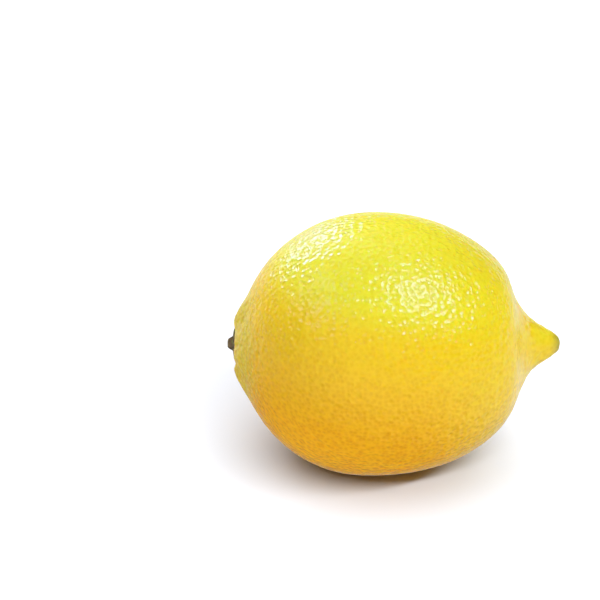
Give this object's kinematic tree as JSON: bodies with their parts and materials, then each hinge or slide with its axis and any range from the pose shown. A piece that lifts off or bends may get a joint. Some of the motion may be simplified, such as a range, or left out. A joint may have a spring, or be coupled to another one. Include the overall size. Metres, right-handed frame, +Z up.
{
  "type": "lemon",
  "caption": "Whole ripe lemon lying on its side: oval pitted yellow peel, pointed nipple at the blossom end, low neck with a dry stem button at the other.",
  "frame": {"origin": "on the flat spot that the fruit rests on, straight below its balance point", "axes": "+X along the long axis towards the nipple at the blossom end, +Z up, +Y across"},
  "size_m": [0.0756, 0.0597, 0.0594],
  "materials": {
    "peel": "waxy satin gloss, finely pitted with oil glands, lemon yellow with golden depth",
    "stem_button": "dry matte, greenish brown, finely cracked"
  },
  "bodies": {
    "root": {"fruit": "peel", "stem_button": "stem_button"}
  },
  "joints": []
}
